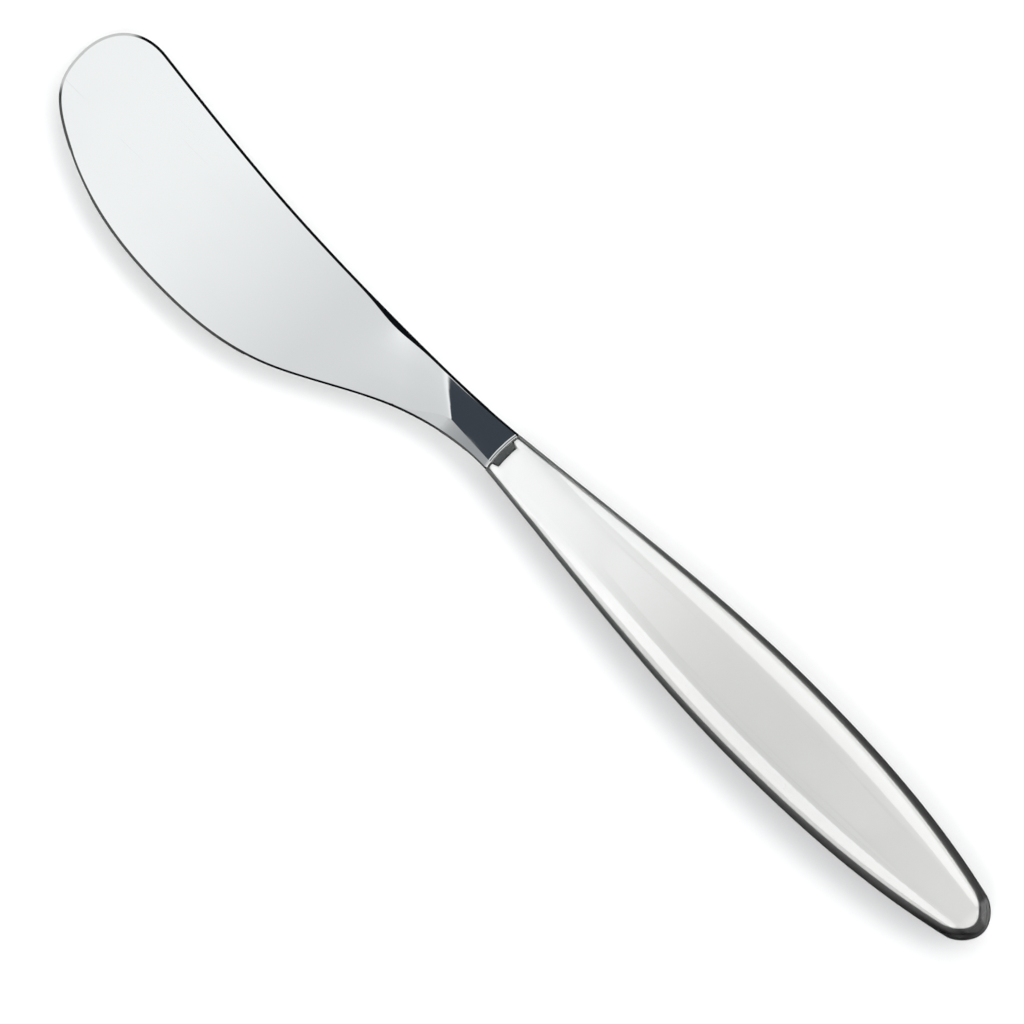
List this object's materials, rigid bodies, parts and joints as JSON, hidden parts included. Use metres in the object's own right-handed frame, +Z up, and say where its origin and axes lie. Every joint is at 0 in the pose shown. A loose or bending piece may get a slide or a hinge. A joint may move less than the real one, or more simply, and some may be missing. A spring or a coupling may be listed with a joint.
{
  "type": "butter knife",
  "caption": "Butter spreader with a broad round-tipped steel blade, a swelling neck and a leaf-shaped handle of clear plastic moulded over a white core.",
  "frame": {"origin": "middle of the knife's box in X and Y, on the underside of the handle", "axes": "+X along the handle's axis from the tip to the butt, +Y to the spine, +Z up out of the flat of the blade"},
  "size_m": [0.175, 0.0254, 0.0086],
  "materials": {
    "polished_steel": "mirror polished stainless steel",
    "white_plastic": "opaque white moulding",
    "clear_plastic": "clear glossy moulding"
  },
  "bodies": {
    "root": {"blade": "polished_steel", "handle_core": "white_plastic", "handle_shell": "clear_plastic"}
  },
  "joints": []
}
